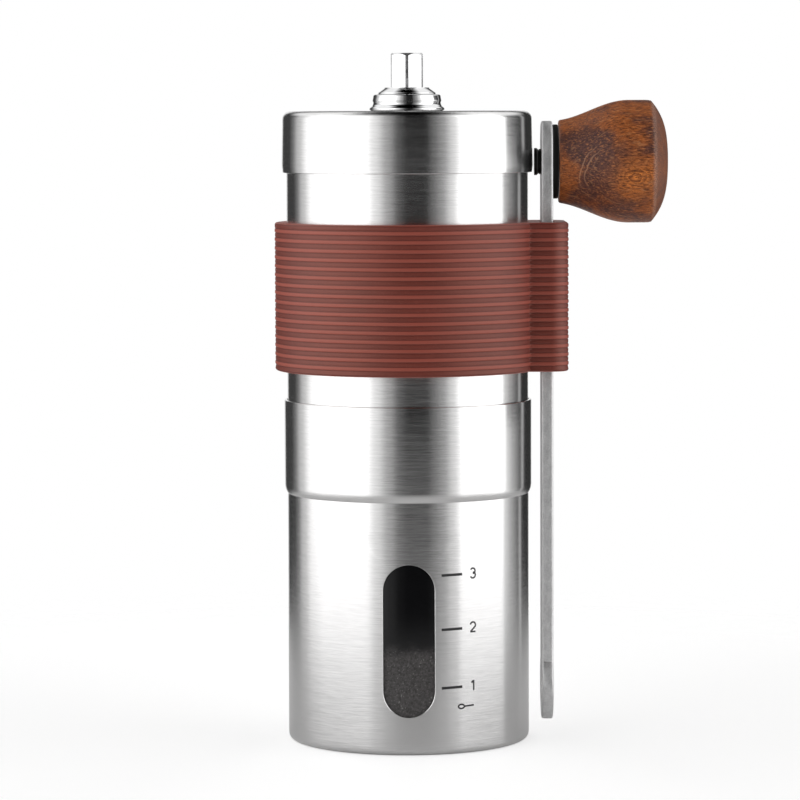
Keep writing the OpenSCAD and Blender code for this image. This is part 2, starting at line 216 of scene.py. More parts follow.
class Look(Nodes):
    """A Principled material. Plain numbers go straight on the shader's sockets."""

    def __init__(self, name, **sockets):
        self.material = bpy.data.materials.new(name)
        self.material.use_nodes = True
        super().__init__(self.material.node_tree)
        self.shader = self.tree.nodes["Principled BSDF"]
        for socket, value in sockets.items():
            self.shader.inputs[socket.replace("_", " ")].default_value = value

    def set(self, socket, value):
        self.put(self.shader.inputs[socket], value)

    def place(self, scale=(1, 1, 1), offset=(0, 0, 0)):
        """The piece's own coordinates in millimetres, moved by offset and then scaled."""
        coords = self.node("TexCoord").outputs["Object"]
        inner = self.node("VectorMath", {"operation": "SCALE"}, i0=coords, Scale=1 / MM).outputs[0]
        moved = self.node("VectorMath", {"operation": "ADD"}, i0=inner, i1=offset).outputs[0]
        return self.node("VectorMath", {"operation": "MULTIPLY"}, i0=moved, i1=scale).outputs[0]

    def noise_at(self, vector, detail=3.0, roughness=0.5):
        return self.node("TexNoise", Vector=vector, Scale=1.0, Detail=detail, Roughness=roughness).outputs[0]

    def noise(self, scale=(1, 1, 1), detail=3.0, roughness=0.5, offset=(0, 0, 0)):
        return self.noise_at(self.place(scale, offset), detail, roughness)

    def mix(self, share, first, second):
        made = self.node("Mix", {"data_type": "RGBA"})
        self.put(made.inputs[0], share)
        self.put(made.inputs[6], first if isinstance(first, bpy.types.NodeSocket) else (*first, 1))
        self.put(made.inputs[7], second if isinstance(second, bpy.types.NodeSocket) else (*second, 1))
        return made.outputs[2]

    def bump(self, height, strength, distance_mm):
        made = self.node("Bump", Strength=strength, Distance=distance_mm * MM, Height=height)
        self.set("Normal", made.outputs[0])


def brushed_steel(name, tone=0.84, roughness=0.2):
    """Stainless steel brushed round the axis: fine rings that spread a highlight along the axis."""
    look = Look(name, Metallic=1.0, Anisotropic=0.95, Anisotropic_Rotation=0.25)
    look.set("Tangent", look.node("Tangent", {"direction_type": "RADIAL", "axis": "Z"}).outputs[0])

    def brushing(scale, offset):
        """Noise drawn out round the axis. Distance from it counts as height, so a flat top has rings."""
        at = look.place()
        away = look.length(look.place(scale=(1, 1, 0)))
        raised = look.node("CombineXYZ", None, i0=offset[0], i1=offset[1], i2=away).outputs[0]
        moved = look.node("VectorMath", {"operation": "ADD"}, i0=at, i1=raised).outputs[0]
        spread = look.node("VectorMath", {"operation": "MULTIPLY"}, i0=moved, i1=scale).outputs[0]
        return look.noise_at(spread, detail=4.0, roughness=0.65)

    rings = brushing((0.1, 0.1, 6.0), (0, 0))
    strokes = brushing((0.35, 0.35, 5.0), (7, 3))
    marks = look.math("MULTIPLY_ADD", rings, 0.5, look.math("MULTIPLY", strokes, 0.5))
    shade = look.remap(marks, 0.32, 0.68, tone * 0.86, tone * 1.08)
    green, blue = [look.math("MULTIPLY", shade, part) for part in (0.993, 0.99)]
    look.set("Base Color", look.node("CombineColor", None, i0=shade, i1=green, i2=blue).outputs[0])
    look.set("Roughness", look.remap(marks, 0.3, 0.7, roughness - 0.05, roughness + 0.07))
    look.bump(marks, 0.2, 0.012)
    return look.material


def polished_steel(name, tone=0.86, roughness=0.07):
    """Turned and polished metal, with faint tool rings."""
    look = Look(name, Metallic=1.0)
    rings = look.noise((0.2, 0.2, 14.0), detail=2.0)
    smears = look.noise((0.6, 0.6, 0.6), detail=4.0, offset=(3, 9, 4))
    duller, clean = (tone * 0.96,) * 3, (tone, tone, tone * 1.01)
    look.set("Base Color", look.mix(look.remap(smears, 0.35, 0.65), duller, clean))
    look.set("Roughness", look.remap(smears, 0.3, 0.7, roughness * 0.7, roughness * 1.5))
    look.bump(rings, 0.05, 0.01)
    return look.material


def blasted_steel(name, tone=0.5):
    """Blanked sheet with a satin, mottled surface from tumbling."""
    look = Look(name, Metallic=1.0)
    grains = look.noise((4.5, 4.5, 4.5), detail=4.0, roughness=0.7)
    patches = look.noise((0.8, 0.8, 0.5), detail=4.0, roughness=0.65, offset=(1, 5, 2))
    both = look.math("MULTIPLY_ADD", grains, 0.5, look.math("MULTIPLY", patches, 0.5))
    look.set("Base Color", look.mix(look.remap(both, 0.38, 0.62), (tone * 0.8,) * 3, (tone * 1.06,) * 3))
    look.set("Roughness", look.remap(both, 0.35, 0.65, 0.42, 0.6))
    look.bump(both, 0.6, 0.12)
    return look.material


def plain_steel(name, tone=0.55, roughness=0.3):
    look = Look(name, Metallic=1.0)
    grain = look.noise((2.5, 2.5, 2.5), detail=4.0)
    look.set("Base Color", look.mix(look.remap(grain, 0.35, 0.65), (tone * 0.88,) * 3, (tone,) * 3))
    look.set("Roughness", look.remap(grain, 0.3, 0.7, roughness * 0.8, roughness * 1.3))
    look.bump(grain, 0.1, 0.01)
    return look.material


def ribbed_silicone(name, first_z, pitch):
    """Satin silicone, slightly dusty. Its ribs, the first at first_z, are painted paler than the lands
    between as a highlight, and the grooves beside them darker as painted shade.
    """
    look = Look(name, Specular_IOR_Level=0.95, Specular_Tint=(1, 0.6, 0.52, 1))
    height = look.node("SeparateXYZ", Vector=look.place(offset=(0, 0, -first_z))).outputs[2]
    cloud = look.noise((0.12, 0.12, 0.12), detail=4.0)
    speck = look.noise((5.5, 5.5, 5.5), detail=2.0, roughness=0.7, offset=(2, 4, 8))
    turns = look.math("MULTIPLY_ADD", height, 1 / pitch, 0.5)
    crest = look.math("ABSOLUTE", look.math("SUBTRACT", look.math("FRACT", turns), 0.5))
    crest = look.math("MULTIPLY_ADD", speck, 0.06, crest)
    # Painted highlight on each rib's crest and painted shade in the grooves beside it, both put into the
    # colour
    painted_ridge_highlight = look.remap(crest, 0.27, 0.17, smooth=True)
    painted_groove_shade = look.between(crest, 0.2, 0.27, 0.3, 0.38)
    land = look.mix(look.remap(cloud, 0.35, 0.65), (0.144, 0.0245, 0.0155), (0.178, 0.032, 0.021))
    land = look.mix(look.math("MULTIPLY", painted_groove_shade, 0.75), land, (0.085, 0.013, 0.009))
    tone = look.mix(painted_ridge_highlight, land, (0.335, 0.072, 0.049))
    look.set("Base Color", look.mix(look.remap(speck, 0.55, 0.8, 0.0, 0.3), tone, (0.42, 0.15, 0.12)))
    look.set("Roughness", look.remap(speck, 0.3, 0.7, 0.4, 0.54))
    look.bump(speck, 0.12, 0.02)
    return look.material


def moulded_plastic(name, colour, roughness=0.42, texture=0.12, gloss=0.5):
    look = Look(name, Specular_IOR_Level=gloss)
    fine = look.noise((9, 9, 9), detail=2.0)
    broad = look.noise((0.2, 0.2, 0.2), detail=3.0, offset=(5, 5, 5))
    darker = tuple(c * 0.86 for c in colour)
    look.set("Base Color", look.mix(look.remap(broad, 0.35, 0.65), darker, colour))
    look.set("Roughness", look.remap(broad, 0.3, 0.7, roughness - 0.06, roughness + 0.08))
    look.bump(fine, texture, 0.015)
    return look.material


def sintered_ceramic(name):
    look = Look(name, Specular_IOR_Level=0.5, Subsurface_Weight=0.05)
    grain = look.noise((6, 6, 6), detail=4.0, roughness=0.65)
    stain = look.noise((0.35, 0.35, 0.5), detail=4.0, offset=(3, 1, 7))
    clean = look.mix(look.remap(grain, 0.35, 0.65), (0.74, 0.70, 0.62), (0.86, 0.83, 0.76))
    look.set("Base Color", look.mix(look.remap(stain, 0.56, 0.74, 0.0, 0.5), clean, (0.36, 0.23, 0.13)))
    look.set("Roughness", look.remap(grain, 0.3, 0.7, 0.38, 0.56))
    look.bump(grain, 0.15, 0.02)
    return look.material


def turned_brass(name):
    look = Look(name, Metallic=1.0)
    rings = look.noise((0.4, 3.0, 3.0), detail=3.0)
    look.set("Base Color", look.mix(look.remap(rings, 0.35, 0.65), (0.52, 0.34, 0.12), (0.72, 0.52, 0.22)))
    look.set("Roughness", look.remap(rings, 0.3, 0.7, 0.22, 0.4))
    look.bump(rings, 0.08, 0.01)
    return look.material


def smoked_plastic(name, dust_z):
    """Glossy smoked plastic. Ground coffee has left it dull and speckled up to dust_z."""
    look = Look(name, IOR=1.49, Specular_IOR_Level=0.55)
    height = look.node("SeparateXYZ", Vector=look.place()).outputs[2]
    edge = look.math("MULTIPLY_ADD", look.noise((0.35, 0.35, 0.35), detail=3.0), 3.0, dust_z - 1.5)
    share = look.remap(look.math("SUBTRACT", edge, height), -1.6, 1.8, smooth=True)
    grains = look.noise((2.2, 2.2, 2.2), detail=5.0, roughness=0.75)
    sparks = look.remap(look.noise((3.0, 3.0, 3.0), detail=2.0, offset=(4, 4, 4)), 0.63, 0.74)
    dust = look.mix(look.remap(grains, 0.35, 0.66), (0.032, 0.029, 0.028), (0.11, 0.103, 0.103))
    sparked = look.mix(look.math("MULTIPLY", sparks, 0.7), dust, (0.34, 0.33, 0.32))
    look.set("Base Color", look.mix(share, (0.006, 0.006, 0.007), sparked))
    look.set("Roughness", look.remap(share, 0, 1, 0.07, 0.42))
    look.set("Transmission Weight", look.remap(share, 0, 1, 0.25, 0.0))
    return look.material


def knot_rings(look, along, up, front):
    """A small knot in the belly's front, the rings round it, and two pale arcs of them towards the neck."""
    knot_x = look.math("SUBTRACT", along, KNOT[0])
    knot_z = look.math("MULTIPLY", look.math("SUBTRACT", up, KNOT[1]), 1.25)
    square = look.square_sum(knot_x, knot_z)
    knot = look.math("MULTIPLY", look.math("EXPONENT", look.math("MULTIPLY", square, -0.07)), front)
    uneven = look.noise((0.35, 0.35, 0.35), detail=2.0)
    ring = look.math("MULTIPLY_ADD", uneven, 1.6, look.math("SQRT", square))
    waves = look.math("FRACT", look.math("MULTIPLY", ring, 1.05))
    neckward = look.remap(knot_x, -4.5, -8.0, smooth=True)
    beside = look.remap(look.math("ABSOLUTE", look.math("ADD", up, 0.8)), 5.4, 1.0, smooth=True)
    arcs = look.product(look.between(waves, 0.62, 0.8, 0.9, 1.0), look.between(ring, 9.1, 9.9, 11.4, 12.2),
                        neckward, front, beside)
    return knot, waves, arcs


def dark_heart(look, along, up, front):
    """A darker, rounded patch in the front, near the neck."""
    heart_x = look.math("MULTIPLY", look.math("SUBTRACT", along, HEART[0]), 0.2)
    heart_z = look.math("MULTIPLY", look.math("SUBTRACT", up, HEART[1]), 0.16)
    square = look.square_sum(heart_x, heart_z)
    return look.math("MULTIPLY", look.math("EXPONENT", look.math("MULTIPLY", square, -1.0)), front)


def growth_lines(look, across, up, sway):
    """Thin, broken lines where the surface cuts the wood's layers."""
    layer = look.math("MULTIPLY_ADD", look.math("MULTIPLY", up, up), 0.012, across)
    layer = look.math("MULTIPLY_ADD", sway, 2.6, layer)
    phase = look.math("FRACT", look.math("MULTIPLY", layer, 0.8))
    broken = look.noise((0.3, 0.5, 0.5), detail=2.0, offset=(2, 2, 2))
    whole = look.between(phase, 0.74, 0.86, 0.9, 0.99)
    return look.product(whole, look.remap(broken, 0.5, 0.62, smooth=True))


def stained_wood(name, neck_x, axis_z, end_x):
    """Flat-sawn wood, its grain along the knob. Its layers lie across Y, so the turned surface cuts ovals."""
    look = Look(name, Specular_IOR_Level=0.3, Coat_Weight=0.05, Coat_Roughness=0.3)
    home = (-neck_x, 0, -axis_z)
    at = look.node("SeparateXYZ", Vector=look.place(offset=home))
    along, across, up = at.outputs
    front = look.remap(across, 2.0, -4.0)
    sway = look.noise((0.14, 0.3, 0.3), detail=3.0, offset=home)
    knot, waves, arcs = knot_rings(look, along, up, front)
    fibres = look.noise((0.8, 3.8, 3.8), detail=5.0, roughness=0.78, offset=home)
    flecks = look.noise((1.0, 4.2, 4.2), detail=3.0, roughness=0.7, offset=(6, 1, 3))
    clouds = look.noise((0.14, 0.2, 0.2), detail=3.0, roughness=0.55, offset=(11, 4, 2))
    # The stain's ground colour, then the knot in it.
    shade = look.math("MULTIPLY_ADD", dark_heart(look, along, up, front), -0.11, clouds)
    tone = look.mix(look.remap(shade, 0.36, 0.58, smooth=True), (0.13, 0.047, 0.036), (0.43, 0.117, 0.025))
    tone = look.mix(look.math("MULTIPLY", knot, 0.95), tone, (0.95, 0.29, 0.055))
    tone = look.mix(look.math("MULTIPLY", knot, waves), tone, (0.2, 0.052, 0.015))
    # Dark fibres, light and dark flecks, and the pale lines.
    dark = look.remap(fibres, 0.55, 0.4, smooth=True)
    tone = look.mix(look.math("MULTIPLY", dark, 0.72), tone, (0.05, 0.017, 0.009))
    tone = look.mix(look.remap(flecks, 0.53, 0.66, 0.0, 0.55, smooth=True), tone, (0.72, 0.255, 0.08))
    tone = look.mix(look.remap(flecks, 0.47, 0.35, 0.0, 0.66, smooth=True), tone, (0.035, 0.013, 0.008))
    lines = growth_lines(look, across, up, sway)
    tone = look.mix(look.math("MULTIPLY", lines, 0.3), tone, (0.7, 0.32, 0.14))
    tone = look.mix(look.math("MULTIPLY", arcs, 0.4), tone, (0.72, 0.36, 0.2))
    # The crown shows end grain, which takes the stain greyer, and its edge is worn.
    edge_x = end_x - neck_x - KNOB_CROWN
    swayed = look.math("MULTIPLY_ADD", sway, 1.0, along)
    crown = look.remap(swayed, edge_x + 0.2, edge_x + 1.0, smooth=True)
    tone = look.mix(look.math("MULTIPLY", crown, 0.6), tone, (0.17, 0.075, 0.05))
    from_edge = look.math("ABSOLUTE", look.math("SUBTRACT", along, edge_x + 0.25))
    edge = look.remap(from_edge, 0.6, 0.1, smooth=True)
    worn = look.math("MULTIPLY", edge, look.remap(fibres, 0.4, 0.65, 0.0, 0.55))
    tone = look.mix(worn, tone, (0.5, 0.3, 0.22))
    look.set("Base Color", tone)
    look.set("Roughness", look.remap(fibres, 0.3, 0.7, 0.42, 0.6))
    look.bump(look.math("MULTIPLY_ADD", flecks, 0.6, fibres), 0.35, 0.06)
    return look.material


BODY_STEEL = brushed_steel("body_steel")
CHROME = polished_steel("hub_chrome")
SHAFT_STEEL = polished_steel("shaft_steel", tone=0.9, roughness=0.3)
ARM_STEEL = blasted_steel("arm_steel", tone=0.86)
FASTENER_STEEL = plain_steel("fastener_steel")
BLACK_STEEL = plain_steel("black_steel", tone=0.03, roughness=0.42)
WHITE_PLASTIC = moulded_plastic("white_plastic", (0.74, 0.72, 0.66))
BLACK_PLASTIC = moulded_plastic("black_plastic", (0.012, 0.012, 0.013))
WASHER_PLASTIC = moulded_plastic("washer_plastic", (0.006, 0.006, 0.006), roughness=0.6, gloss=0.2)
INK = moulded_plastic("print_ink", (0.028, 0.028, 0.03), roughness=0.5, texture=0.04)
CERAMIC = sintered_ceramic("ceramic")
BRASS = turned_brass("brass")
SMOKED = smoked_plastic("smoked_plastic", dust_z=20.2)

CAD_LOOKS = {
    "cup_liner": SMOKED, "burr_housing": WHITE_PLASTIC, "shaft_bushing": BRASS, "outer_burr": CERAMIC,
    "clamp_ring": BLACK_PLASTIC, "clamp_screws": FASTENER_STEEL, "housing_tube": BODY_STEEL,
    "lid_plug": BLACK_PLASTIC, "lid_hub_nut": FASTENER_STEEL, "lid_bushing": WHITE_PLASTIC,
    "drive_shaft": SHAFT_STEEL, "shaft_circlip": BLACK_STEEL, "circlip_washer": FASTENER_STEEL,
    "spring_washer": FASTENER_STEEL, "inner_burr": CERAMIC, "burr_core": BLACK_PLASTIC,
    "adjuster_knob": BLACK_PLASTIC, "adjuster_insert": BRASS, "screw_washer": BLACK_STEEL,
    "knob_insert": BRASS, "knob_screw": BLACK_STEEL,
}


def dress_cad_nodes():
    for name, material in CAD_LOOKS.items():
        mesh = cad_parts[name].data
        mesh.materials.clear()
        mesh.materials.append(material)


def make_burr_spring():
    """The spring under the shaft's washer, copied from its CAD node in fastener steel."""
    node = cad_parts["burr_spring"]
    mesh = node.data.copy()
    mesh.materials.clear()
    mesh.materials.append(FASTENER_STEEL)
    spring = bpy.data.objects.new("burr_spring_coil", mesh)
    scene.collection.objects.link(spring)
    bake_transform(spring)
    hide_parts("burr_spring")


# ---------- catch cup ----------

CUP_CORNER = 1.2
CUP_WALL = 0.5
CUP_R = 23.55
NECK_Z = (48.3, 48.7, 50.2)     # the step below the collar: its foot, its lip, and where the collar is full
LIP_R = 23.78
WINDOW_W = 10.0
WINDOW_H = 29.2
WINDOW_Z = 22.0
RIM_BEVEL = 0.07        # broken edge of the window's cut
WALL_ROWS = 36          # rows of faces up the cup's wall
PATCH_ROWS = (2, 31)    # the rows that the window lies in
PATCH_HALF = 14         # columns of faces on each side of the window's middle that it lies in
CLOSING_RINGS = 5       # rings of faces between the grid and the window


def cup_point(angle, z, radius):
    """A point round the cup's axis. The angle is measured from the window."""
    return (radius * math.sin(angle), -radius * math.cos(angle), z)


def cup_outline(top, collar_r):
    centre = (CUP_R - CUP_CORNER, CUP_CORNER)
    foot, lip, full = NECK_Z
    floor_ring = 14
    # The collar's lower end bends inwards on one arc, from full down to the lip.
    fall, drop = collar_r - LIP_R, full - lip
    swing = 2 * math.degrees(math.atan(fall / drop))
    bend_r = drop / math.sin(math.radians(swing))
    bend = arc((collar_r - bend_r, full), bend_r, -swing, 0, 8)
    return {
        "outside": [(0, 0), (floor_ring, 0), *arc(centre, CUP_CORNER, -90, 0, 8)],
        "wall": (CUP_CORNER, foot),
        "collar": [*arc((CUP_R + 0.12, foot + 0.06), 0.12, 180, 100, 3), (LIP_R - 0.05, lip - 0.1), *bend,
                   (collar_r, top - 6), *arc((collar_r - 0.2, top - 0.2), 0.2, 0, 90, 4),
                   (collar_r - CUP_WALL, top), (collar_r - CUP_WALL, top - 6), (collar_r - CUP_WALL, full),
                   (LIP_R - CUP_WALL, lip + 0.3)],
        "inside": [*arc(centre, CUP_CORNER - CUP_WALL, 0, -90, 6),
                   (floor_ring, CUP_WALL), (0, CUP_WALL)],
    }


def window_point(u, z, reach):
    """The point at distance reach from the window's middle line, towards (u, z)."""
    half = (WINDOW_H - WINDOW_W) / 2
    middle_z = min(max(z, WINDOW_Z - half), WINDOW_Z + half)
    away = Vector((u, z - middle_z)).normalized()
    return away.x * reach, middle_z + away.y * reach


def make_cup_shell():
    """The cup's shell. Its wall is a grid, with rings of faces that close in on the window."""
    corner = span("cup_shell")[1]
    parts = cup_outline(corner.z, corner.y)
    low, high = parts["wall"]
    levels = [low + (high - low) * i / WALL_ROWS for i in range(WALL_ROWS + 1)]
    first, last = PATCH_ROWS
    step = math.tau / SEGMENTS
    bm = bmesh.new()

    def on_wall(angle, z, radius):
        return bm.verts.new(cup_point(angle, z, radius))

    def ring(radius, z):
        if radius < TINY:
            return [bm.verts.new((0, 0, z))]
        return [on_wall(step * i, z, radius) for i in range(SEGMENTS)]

    def grid(radius):
        rows = [ring(radius, z) for z in levels]
        for j in range(len(rows) - 1):
            for i in range(SEGMENTS):
                column = (i + PATCH_HALF) % SEGMENTS
                if column < 2 * PATCH_HALF and first <= j < last:
                    continue
                k = (i + 1) % SEGMENTS
                bm.faces.new((rows[j][i], rows[j][k], rows[j + 1][k], rows[j + 1][i]))
        across = range(-PATCH_HALF, PATCH_HALF)
        loop = [rows[first][i] for i in across]
        loop += [rows[j][PATCH_HALF] for j in range(first, last)]
        loop += [rows[last][-i] for i in across]
        loop += [rows[j][-PATCH_HALF] for j in range(last, first, -1)]
        return rows, loop

    def close_in(loop, radius, reach):
        """Rings of faces from the grid's opening to the window's outline, all on the cylinder."""
        start = [(math.atan2(v.co.x, -v.co.y) * CUP_R, v.co.z) for v in loop]
        goal = [window_point(u, z, reach) for u, z in start]
        previous = loop
        for k in range(1, CLOSING_RINGS + 1):
            share = 1 - (1 - k / CLOSING_RINGS) ** 1.5
            points = [(a[0] + (b[0] - a[0]) * share, a[1] + (b[1] - a[1]) * share)
                      for a, b in zip(start, goal)]
            following = [on_wall(u / CUP_R, z, radius) for u, z in points]
            bridge(bm, previous, following)
            previous = following
        return previous, goal

    outer_rows, outer_loop = grid(CUP_R)
    inner_rows, inner_loop = grid(CUP_R - CUP_WALL)
    outer_edge, goal = close_in(outer_loop, CUP_R, WINDOW_W / 2 + RIM_BEVEL)
    inner_edge, _ = close_in(inner_loop, CUP_R - CUP_WALL, WINDOW_W / 2)
    rim = [window_point(u, z, WINDOW_W / 2) for u, z in goal]
    rim_edge = [on_wall(u / CUP_R, z, CUP_R - RIM_BEVEL) for u, z in rim]
    bridge_all(bm, [outer_edge, rim_edge, inner_edge])
    bridge_all(bm, [ring(r, z) for r, z in parts["outside"][:-1]] + [outer_rows[0]])
    bridge_all(bm, [outer_rows[-1]] + [ring(r, z) for r, z in parts["collar"]] + [inner_rows[-1]])
    bridge_all(bm, [inner_rows[0]] + [ring(r, z) for r, z in parts["inside"][1:]])
    return add_object("cup_shell_skin", bm, BODY_STEEL, "cup", ["cup_shell"])


# ---------- printed marks ----------

MARK_HEIGHTS = (12.9, 24.1, 34.5)   # of the one, two and three spoon ticks
TICK = (6.3, 10.5)                  # from the window's middle, round the cup
DIGIT_U = 12.85
DIGIT_H = 1.95
SPOON = (10.3, 9.2)                 # round the cup and up
TICK_W, DIGIT_W, SPOON_W = 0.5, 0.32, 0.3
INK_T = 0.02


def add_stroke(bm, points, width):
    """A flat printed line on the cup's wall, along points of (distance round the cup, height)."""
    rows = []
    for i, point in enumerate(points):
        before = Vector(points[max(i - 1, 0)])
        after = Vector(points[min(i + 1, len(points) - 1)])
        side = (after - before).normalized().orthogonal() * width / 2
        row = []
        for sign, raised in ((1, INK_T), (-1, INK_T), (-1, -INK_T), (1, -INK_T)):
            u, z = Vector(point) + side * sign
            row.append(bm.verts.new(cup_point(u / CUP_R, z, CUP_R + raised)))
        rows.append(row)
    bridge_all(bm, rows)
    bm.faces.new(rows[0])
    bm.faces.new(rows[-1][::-1])


def digit_strokes(number, u, z):
    """Plain sans-serif 1, 2 and 3, centred on (u, z)."""
    half = DIGIT_H / 2
    bowl = DIGIT_H * 0.29
    if number == 1:
        stem = line((u + 0.15, z - half), (u + 0.15, z + half))
        return [stem, line((u + 0.1, z + half - 0.05), (u - 0.35, z + 0.5), 4)]
    upper = (u, z + half - bowl)
    if number == 2:
        hook = arc(upper, bowl, 170, -35, 12)
        foot = (u - bowl, z - half + 0.1)
        return [hook + line(hook[-1], foot, 6)[1:], line(foot, (u + bowl, z - half + 0.1))]
    lower = (u, z - half + bowl)
    return [arc(upper, bowl * 0.9, 155, -90, 14), arc(lower, bowl, 90, -155, 14)]


def spoon_strokes(u, z):
    """A small spoon lying on its side, as the marks' unit."""
    half_w, half_h = 0.62, 0.4
    bowl = [(u + half_w * math.cos(a), z + half_h * math.sin(a))
            for a in [math.tau * i / 20 for i in range(21)]]
    return [bowl, line((u + half_w, z), (u + 2.7, z + 0.12), 8)]


def make_marks():
    bm = bmesh.new()
    for number, z in enumerate(MARK_HEIGHTS, 1):
        add_stroke(bm, line((TICK[0], z), (TICK[1], z + 0.1), 14), TICK_W)
        for stroke in digit_strokes(number, DIGIT_U, z + 0.2):
            add_stroke(bm, stroke, DIGIT_W)
    for stroke in spoon_strokes(*SPOON):
        add_stroke(bm, stroke, SPOON_W)
    return add_object("volume_marks", bm, INK, "cup")


# ---------- lid and hub ----------

LID_BORE = 5.2          # the lid's hole, which the hub's spigot fills


def make_lid_cap():
    low, high = span("lid_cap")
    radius, top, bottom = high.x, high.z, low.z
    wall, inner_r, top_ring = 0.6, 23.68, 12
    round_r, inner_round, curl = 1.5, 0.9, 0.16
    side_r = radius - 0.15              # the side flares a little towards its rim
    outline = [(LID_BORE, top), (top_ring, top), *arc((side_r - round_r, top - round_r), round_r, 90, 2, 12),
               (side_r + 0.08, top - 6), (radius, bottom + 1.4),
               *arc((radius - curl - 0.12, bottom + curl), curl, 12, -88, 8), (inner_r, bottom + 0.02),
               (inner_r, top - round_r),
               *arc((inner_r - inner_round, top - wall - inner_round), inner_round, 0, 90, 6),
               (top_ring, top - wall), (LID_BORE, top - wall)]
    cap = lathe_mesh(outline, upright)
    return add_object("lid_cap_skin", cap, BODY_STEEL, "lid", ["lid_cap"])


def make_lid_hub():
    """The hub's outline, from its spigot's foot: a bead and a hollow, a shoulder, a step and a cone."""
    low, high = span("lid_hub")
    top, base, radius = high.z, span("lid_cap")[1].z, high.x
    bore, lip, step_r, sink = 4.4, 3.7, 5.85, 1.9
    outline = [(bore, low.z), (LID_BORE, low.z), (LID_BORE, base), (radius - 0.45, base),
               *arc((radius - 0.34, base + 0.38), 0.34, -70, 50, 8),
               *arc((radius + 0.35, base + 1.7), 1.1, 234, 184, 10),
               (6.7, base + 2.0), (6.58, base + 2.6), *arc((6.2, base + 2.84), 0.35, 8, 86, 8),
               (step_r, base + 3.2), *arc((step_r, base + 3.34), 0.13, 265, 215, 3),
               *arc((5.36, base + 3.42), 0.22, 0, 50, 4), (4.36, base + 4.42),
               *arc((4.26, base + 4.38), 0.15, 50, 86, 4),
               (lip + 0.12, top - 0.01), (lip, top - 0.12), (lip, top - sink), (bore, top - sink)]
    hub = lathe_mesh(outline, upright)
    return add_object("lid_hub_skin", hub, CHROME, "lid", ["lid_hub"], sharp=40)


# ---------- grip sleeve ----------

LOOP_HALF_W = 10.6
LOOP_CORNER = 3.7
SLOT_X = (25.8, 28.5)
SLOT_HALF_W = 7.3
RIBS = 16
RIB_MARGIN = 1.55       # from the sleeve's end to the first rib
EDGE_ROUND = 0.45
# One rib from below to above: share of the pitch, and how far the surface lies under the rib's crest.
RIB_SHAPE = ((-0.5, 0.07), (-0.36, 0.07), (-0.29, 0.17), (-0.24, 0.17), (-0.16, 0.03), (-0.06, 0.0),
             (0.06, 0.0), (0.16, 0.03), (0.24, 0.14), (0.28, 0.14), (0.36, 0.07), (0.5, 0.07))


def sleeve_outline(radius, loop_x, inset):
    """The sleeve seen from above, drawn in by inset, always with the same number of points."""
    half = LOOP_HALF_W - inset
    corner = LOOP_CORNER - inset
    r = radius - inset
    x = loop_x - inset
    start = math.degrees(math.asin(half / r))
    band = arc((0, 0), r, start, 360 - start, 200)
    front_corner = arc((x - corner, corner - half), corner, -90, 0, 12)
    back_corner = arc((x - corner, half - corner), corner, 0, 90, 12)
    return (band + line(band[-1], front_corner[0], 6)[1:-1] + front_corner
            + line(front_corner[-1], back_corner[0], 8)[1:-1] + back_corner
            + line(back_corner[-1], band[0], 6)[1:-1])


def rib_pitch(low, high):
    return (high - low - 2 * RIB_MARGIN) / (RIBS - 1)


def rib_levels(low, high):
    """Heights and insets of the sleeve's surface, from its lower edge to its upper one."""
    pitch = rib_pitch(low, high)
    levels = [(low + EDGE_ROUND * (1 - math.cos(a)), EDGE_ROUND * (1 - math.sin(a)) + 0.03)
              for a in [math.radians(15 * i) for i in range(7)]]
    for rib in range(RIBS):
        centre = low + RIB_MARGIN + rib * pitch
        for share, depth in RIB_SHAPE:
            at_end = (rib == 0 and share < -0.3) or (rib == RIBS - 1 and share > 0.3)
            if not at_end and not (rib and share == -0.5):
                levels.append((centre + share * pitch, depth))
    levels.append((high - RIB_MARGIN + 0.34 * pitch, 0.04))
    levels += [(high - EDGE_ROUND * (1 - math.cos(a)), EDGE_ROUND * (1 - math.sin(a)) + 0.03)
               for a in [math.radians(15 * i) for i in range(6, -1, -1)]]
    return sorted(levels)


def make_grip_sleeve():
    low, high = span("grip_sleeve")
    radius, loop_x = high.y, high.x
    bore = span("housing_tube")[1].x + 0.01
    bm = bmesh.new()
    rings = []
    for z, inset in rib_levels(low.z, high.z):
        rings.append(add_ring(bm, [(x, y, z) for x, y in sleeve_outline(radius, loop_x, inset)]))
    bridge_all(bm, rings)
    inner_x, outer_x = SLOT_X
    half = SLOT_HALF_W
    corners = [(inner_x, -half), (outer_x, -half), (outer_x, half), (inner_x, half)]
    slot = []
    for i, steps in enumerate((3, 12, 3, 12)):
        slot += line(corners[i], corners[(i + 1) % 4], steps)[:-1]
    circle = arc((0, 0), bore, 0, 360, 200)[:-1]
    for hole in (circle, slot):
        bridge_all(bm, [add_ring(bm, [(x, y, z) for x, y in hole]) for z in (low.z, high.z)])
    for z in (low.z, high.z):
        fill_flat(bm, 2, z)
    silicone = ribbed_silicone("silicone", low.z + RIB_MARGIN, rib_pitch(low.z, high.z))
    return add_object("grip_sleeve_skin", bm, silicone, "housing", ["grip_sleeve"], sharp=50)


# ---------- crank and knob ----------

ARM_HALF_W = 5.0
ARM_EDGE = 0.4          # rounding of the blanked arm's edges
HEX_AF = 6.5            # the socket's width across flats
AXLE_R = 2.05           # of the hole for the knob's screw


def arm_outline(low, high):
    """The arm's face as (across, up): a round top, straight sides and a larger round socket end."""
    socket_r = high.y
    socket_z = low.z + socket_r
    top_z = high.z - ARM_HALF_W
    meet = math.degrees(math.acos(ARM_HALF_W / socket_r))
    shoulder_z = socket_z + socket_r * math.sin(math.radians(meet))
    return (arc((0, top_z), ARM_HALF_W, 0, 180, 24)
            + line((-ARM_HALF_W, top_z), (-ARM_HALF_W, shoulder_z), 10)[1:-1]
            + arc((0, socket_z), socket_r, 180 - meet, 360 + meet, 48)
            + line((ARM_HALF_W, shoulder_z), (ARM_HALF_W, top_z), 10)[1:-1])


